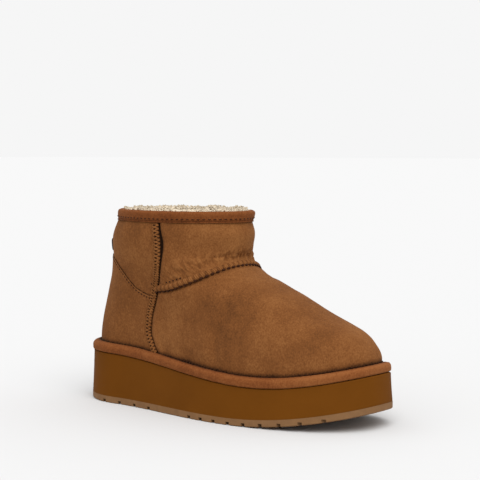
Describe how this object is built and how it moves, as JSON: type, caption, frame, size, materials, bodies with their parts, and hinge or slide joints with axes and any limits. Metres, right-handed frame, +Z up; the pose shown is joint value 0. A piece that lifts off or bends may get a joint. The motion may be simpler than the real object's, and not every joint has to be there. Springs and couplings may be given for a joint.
{
  "type": "sheepskin boot",
  "caption": "Low pull-on sheepskin boot with a hollow suede upper, fleece collar, rolled welt and a thick platform sole, for the right foot.",
  "frame": {"origin": "middle of the boot's box in plan, on the floor under the sole", "axes": "+X from heel to toe, +Y to the inner side of the foot, +Z up"},
  "size_m": [0.275, 0.1032, 0.158],
  "materials": {
    "suede": "brushed suede with a short mottled nap",
    "trim_suede": "redder brushed suede strip",
    "midsole_foam": "smooth moulded caramel foam",
    "outsole_rubber": "matt tan rubber",
    "fleece": "deep cream wool pile",
    "tab": "plain dark brown leather"
  },
  "bodies": {
    "root": {"upper": "suede", "insole": "fleece", "midsole": "midsole_foam", "outsole": "outsole_rubber", "welt": "trim_suede", "collar_binding": "trim_suede", "heel_counter": "suede", "side_seam_outer": "trim_suede", "side_seam_inner": "trim_suede", "instep_seam": "trim_suede", "back_tab": "tab", "collar_fleece": "fleece"}
  },
  "joints": []
}
